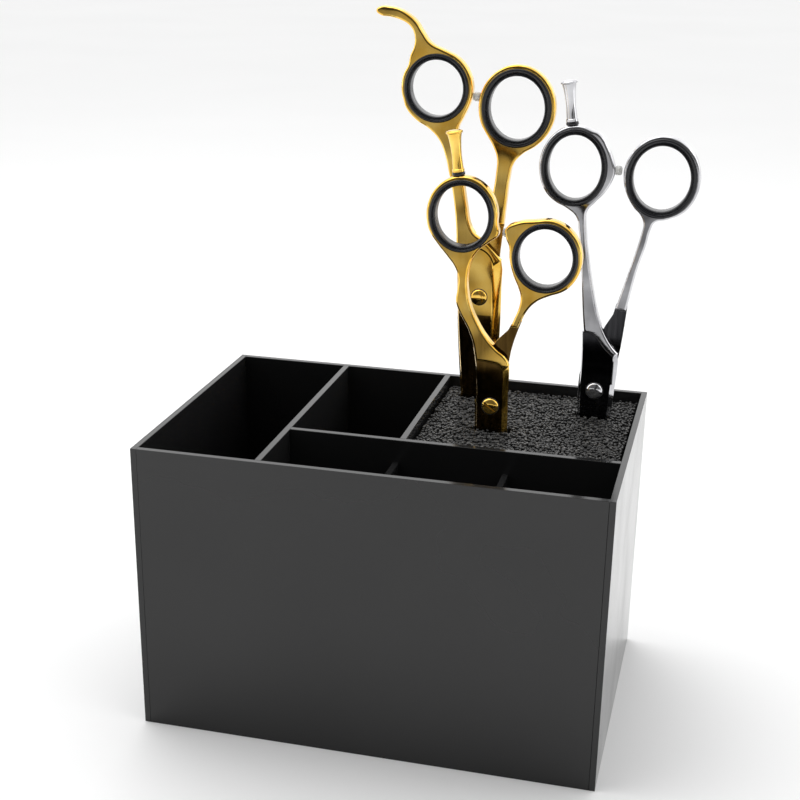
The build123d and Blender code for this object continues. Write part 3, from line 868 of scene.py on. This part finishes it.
def makeBristles():
    low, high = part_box("bristle_bundle")
    low, high = low / mm, high / mm
    height = high.z - low.z
    radius, pitch, stray, lean = (bristles[key] for key in ("radius", "pitch", "stray", "lean"))
    rod = makeRod(height)
    rng = random.Random(bristles["seed"])
    boxes = bladeBoxes()
    rowStep = pitch * 3 ** 0.5 / 2
    margin = radius + bristles["margin"]
    rods = []
    y = low.y + margin
    row = 0
    while y < high.y - margin:
        x = low.x + margin + (pitch / 2 if row % 2 else 0)
        while x < high.x - margin:
            inBlade = any(abs(x - bladeX) < halfX + radius * 0.6 and abs(y - bladeY) < halfY + radius * 0.7
                          for bladeX, bladeY, halfX, halfY in boxes)
            spot = (x + rng.uniform(-stray, stray), y + rng.uniform(-stray, stray))
            leanX, leanY = rng.uniform(-1, 1) * lean, rng.uniform(-1, 1) * lean
            drop = rng.uniform(0, 1) * bristles["heightSpread"]
            twist = rng.uniform(0, pi)
            if not inBlade:
                topX = min(max(spot[0] + leanX, low.x + margin), high.x - margin)
                topY = min(max(spot[1] + leanY, low.y + margin), high.y - margin)
                rods.append(plantRod(rod, spot, (topX, topY), drop, twist, low.z, height))
            x += pitch
        y += rowStep
        row += 1
    bpy.data.objects.remove(rod)
    bundle = joinPieces(rods, "bristleBundle")
    bundle.data.transform(Matrix.Scale(mm, 4))
    smooth(bundle, 40)
    paint(bundle, nylon)
    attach(bundle, "insert")
    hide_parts("bristle_bundle")
    print("bristles", len(rods))


makeBristles()


studio = {
    "floorSize": 24, "floorShade": (0.9, 0.9, 0.9), "worldStrength": 1.3,
    # direction, where the dimming starts and ends as a cosine, and how dark it gets
    "dimPatches": [((0.1, -0.9, 0.42), 0.6, 0.8, 0.1), ((-0.85, -0.5, 0.15), 0.86, 0.94, 0.15),
                   ((0.9, -0.35, 0.2), 0.93, 0.97, 0.2)],
}


def addStudio():
    clearTable()
    bpy.ops.mesh.primitive_plane_add(size=studio["floorSize"], location=(0, 0, 0))
    floor = bpy.context.object
    floor.name = "floor"
    material, nodes, links, shader, place = newMaterial("paleFloor")
    tone = addNoise(nodes, links, place, 3, 2)
    shade = studio["floorShade"]
    shades = [(0.3, shade), (0.7, tuple(part * 1.02 for part in shade))]
    links.new(addRamp(nodes, links, tone, shades), shader.inputs["Base Color"])
    shader.inputs["Roughness"].default_value = 0.75
    paint(floor, material)
    # white all round, except for dim patches that give the metal its dark tones
    world = bpy.data.worlds.new("studio")
    bpy.context.scene.world = world
    world.use_nodes = True
    nodes, links = world.node_tree.nodes, world.node_tree.links
    direction = nodes.new("ShaderNodeTexCoord")
    previous = None
    for aim, start, end, shade in studio["dimPatches"]:
        toward = nodes.new("ShaderNodeVectorMath")
        toward.operation = "DOT_PRODUCT"
        toward.inputs[1].default_value = Vector(aim).normalized()
        links.new(direction.outputs["Generated"], toward.inputs[0])
        steps = [(start, (1, 1, 1)), (end, (shade, shade, shade))]
        patch = addRamp(nodes, links, toward.outputs["Value"], steps)
        if previous:
            both = nodes.new("ShaderNodeMix")
            both.data_type = "RGBA"
            both.blend_type = "MULTIPLY"
            both.inputs["Factor"].default_value = 1
            links.new(previous, both.inputs["A"])
            links.new(patch, both.inputs["B"])
            patch = both.outputs["Result"]
        previous = patch
    links.new(previous, nodes["Background"].inputs["Color"])
    nodes["Background"].inputs["Strength"].default_value = studio["worldStrength"]
    bpy.context.scene.view_settings.view_transform = "Standard"


def addSoftbox(name, place, aim, size, power):
    light = bpy.data.lights.new(name, "AREA")
    light.shape = "RECTANGLE"
    light.size, light.size_y = size
    light.energy = power
    lamp = bpy.data.objects.new(name, light)
    bpy.context.scene.collection.objects.link(lamp)
    lamp.location = place
    lamp.rotation_euler = (Vector(aim) - Vector(place)).to_track_quat("-Z", "Y").to_euler()


def addCamera():
    view = {
        "place": (0.10526, -0.43164, 0.26194), "azimuth": 13.885, "elevation": 21.01, "roll": 0.909,
        "lens": 63.784, "shiftY": 0.05,
    }
    camera = bpy.data.cameras.new("camera")
    camera.lens = view["lens"]
    camera.shift_y = view["shiftY"]
    camera.clip_start = 0.01
    eye = bpy.data.objects.new("camera", camera)
    bpy.context.scene.collection.objects.link(eye)
    azimuth, elevation = radians(view["azimuth"]), radians(view["elevation"])
    backward = Vector((sin(azimuth) * cos(elevation), -cos(azimuth) * cos(elevation), sin(elevation)))
    level = backward.to_track_quat("Z", "Y").to_matrix().to_4x4()
    turn = level @ Matrix.Rotation(radians(view["roll"]), 4, "Z")
    eye.matrix_world = Matrix.Translation(view["place"]) @ turn
    bpy.context.scene.camera = eye


addStudio()
addSoftbox("topBox", (-0.25, 0.15, 0.95), (0, 0, 0.08), (0.9, 0.7), 3)
addSoftbox("leftBox", (-0.95, -0.2, 0.45), (0, 0, 0.1), (0.5, 0.8), 1.5)
addSoftbox("rightBox", (0.9, 0.1, 0.4), (0.02, 0, 0.12), (0.35, 0.8), 0.8)
addCamera()
print("studio ready")
